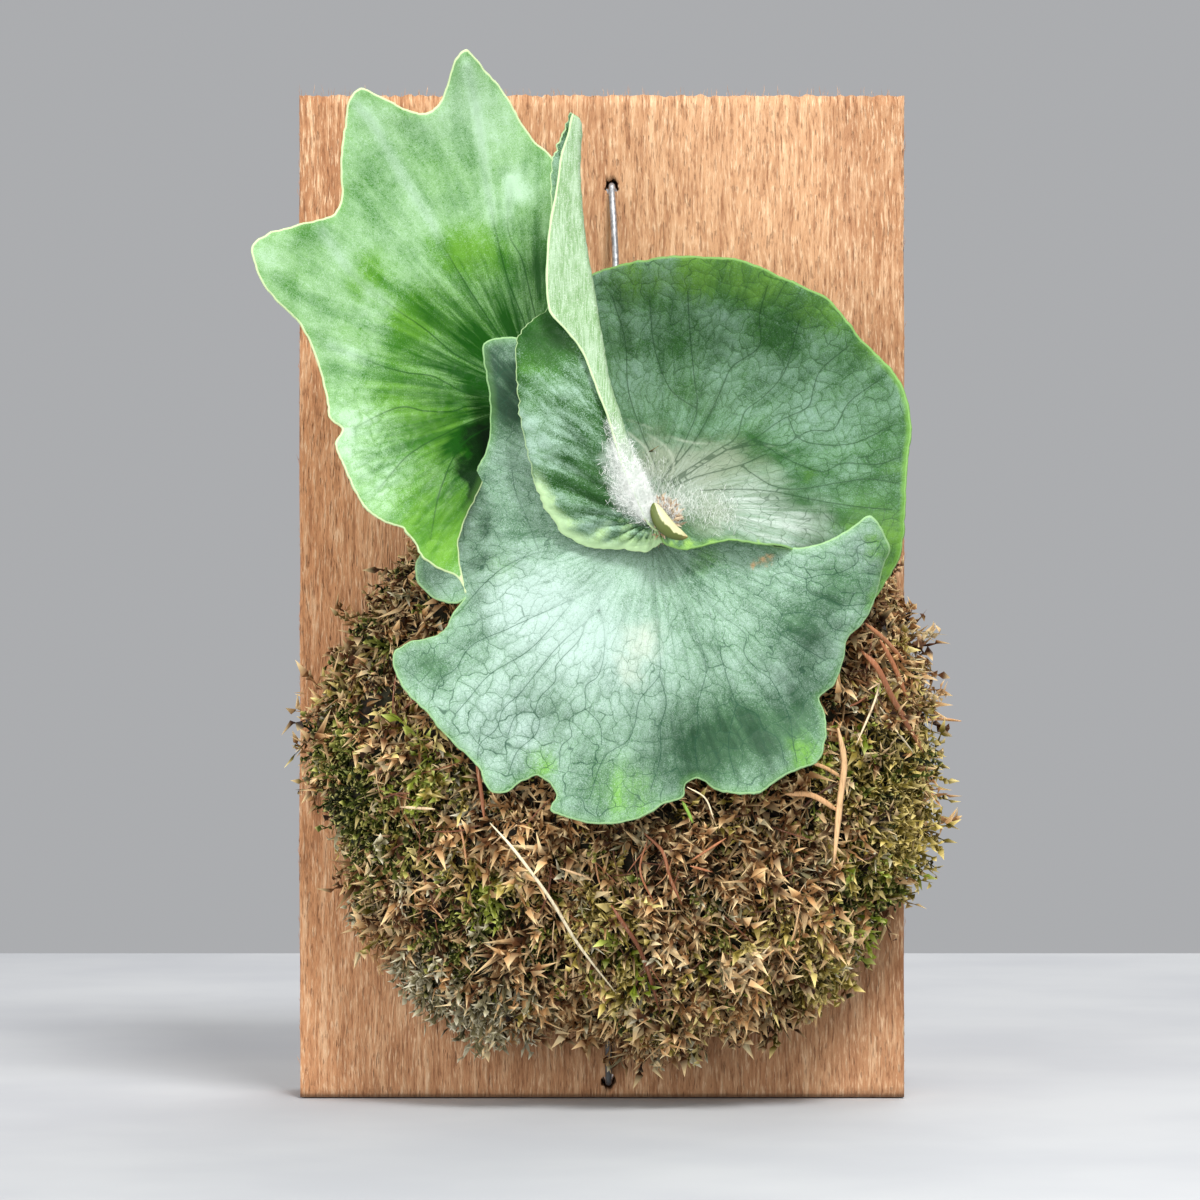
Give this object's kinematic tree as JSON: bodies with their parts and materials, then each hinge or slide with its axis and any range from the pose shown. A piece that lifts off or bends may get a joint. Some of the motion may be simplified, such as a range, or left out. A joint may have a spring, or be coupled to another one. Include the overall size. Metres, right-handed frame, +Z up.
{
  "type": "mounted staghorn fern",
  "caption": "Staghorn fern with broad shield fronds, growing from a moss-wrapped root ball tied by a wire to an upright rough-sawn board.",
  "frame": {"origin": "centre of the face that the board stands on", "axes": "+Z up along the board's grain; +Y out of the board's back; the plant faces -Y"},
  "size_m": [0.2032, 0.117, 0.312],
  "materials": {
    "rough_wood": "matte",
    "wire": "satin",
    "moss": "matte",
    "crown_scales": "matte",
    "bud_skin": "satin",
    "bright_frond": "satin",
    "dark_frond": "matte",
    "pale_frond": "matte",
    "young_frond": "matte"
  },
  "bodies": {
    "root": {"board": "rough_wood", "tie_wire": "wire", "moss": "moss", "crown": "crown_scales", "bud": "bud_skin", "frond_upright": "bright_frond", "frond_round": "dark_frond", "frond_front": "pale_frond", "frond_folded": "young_frond"}
  },
  "joints": []
}
